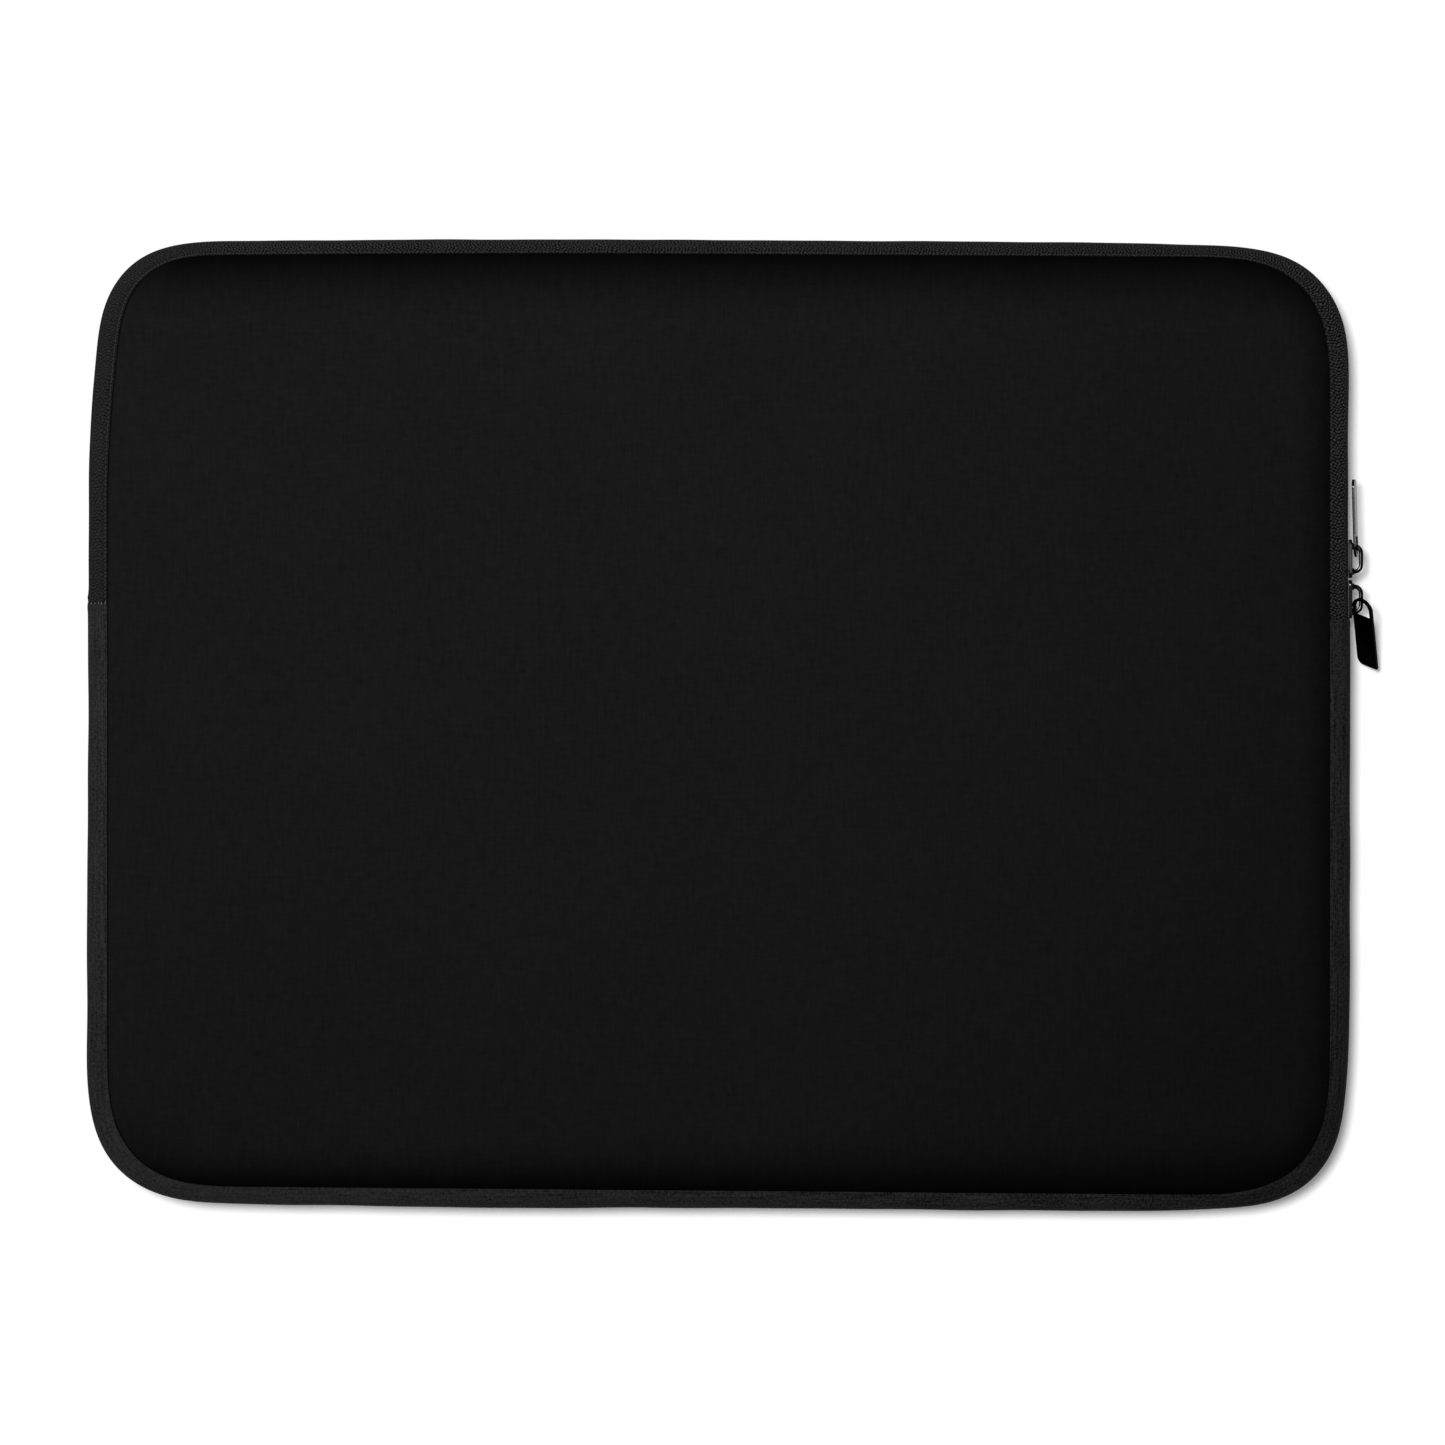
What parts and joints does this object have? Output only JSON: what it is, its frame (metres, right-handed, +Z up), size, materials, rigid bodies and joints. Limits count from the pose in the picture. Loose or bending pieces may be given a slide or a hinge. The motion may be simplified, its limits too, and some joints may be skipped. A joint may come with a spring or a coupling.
{
  "type": "laptop sleeve",
  "caption": "Slim padded fabric sleeve for a laptop, closed by a zip round its upper edge with sliding pulls that park at one side.",
  "frame": {"origin": "middle of the back panel's flat face, on which the sleeve lies", "axes": "+X to the side where the sliders are parked, +Y to the top edge that the zip runs along, +Z up through the front panel"},
  "size_m": [0.3841, 0.2878, 0.025],
  "materials": {
    "knit_fabric": "matt black rib knit over foam",
    "padding_foam": "soft closed-cell foam",
    "lining_fabric": "smooth brushed lining",
    "binding_tape": "folded woven tape",
    "thread": "spun sewing thread",
    "zipper_tape": "herringbone woven tape, charcoal",
    "zipper_coil": "nylon coil",
    "gusset_fabric": "plain weave, charcoal",
    "slider_metal": "gloss black lacquer"
  },
  "bodies": {
    "sleeve": {"front_outer_fabric": "knit_fabric", "front_foam": "padding_foam", "front_lining": "lining_fabric", "front_seam_binding": "binding_tape", "front_seam_thread": "thread", "front_zipper_tape": "zipper_tape", "front_zipper_coil": "zipper_coil", "back_outer_fabric": "knit_fabric", "back_foam": "padding_foam", "back_lining": "lining_fabric", "back_seam_binding": "binding_tape", "back_seam_thread": "thread", "back_zipper_tape": "zipper_tape", "back_zipper_coil": "zipper_coil", "lower_gusset": "gusset_fabric", "lower_gusset_foam": "padding_foam", "lower_gusset_lining": "lining_fabric", "left_bar_tack": "thread", "right_bar_tack": "thread"},
    "lower_slider": {"lower_slider_body": "slider_metal", "lower_slider_bail": "slider_metal"},
    "lower_pull": {"lower_pull_tab": "slider_metal"},
    "upper_slider": {"upper_slider_body": "slider_metal", "upper_slider_bail": "slider_metal"},
    "upper_pull": {"upper_pull_tab": "slider_metal"}
  },
  "joints": [
    {"name": "lower_slider_slide", "type": "slide", "parent": "sleeve", "child": "lower_slider", "axis": [0, 1, 0], "range_m": [0, 0.025]},
    {"name": "upper_slider_slide", "type": "slide", "parent": "lower_slider", "child": "upper_slider", "axis": [0, 1, 0], "range_m": [0, 0.032]},
    {"name": "lower_tab_turn", "type": "hinge", "parent": "lower_slider", "child": "lower_pull", "pos_m": [0.1891, 0.0365, 0.0125], "axis": [0, 0, 1], "range_deg": [0, 60]},
    {"name": "upper_tab_turn", "type": "hinge", "parent": "upper_slider", "child": "upper_pull", "pos_m": [0.18935, 0.0503, 0.0125], "axis": [0, 0, -1], "range_deg": [0, 90]}
  ]
}
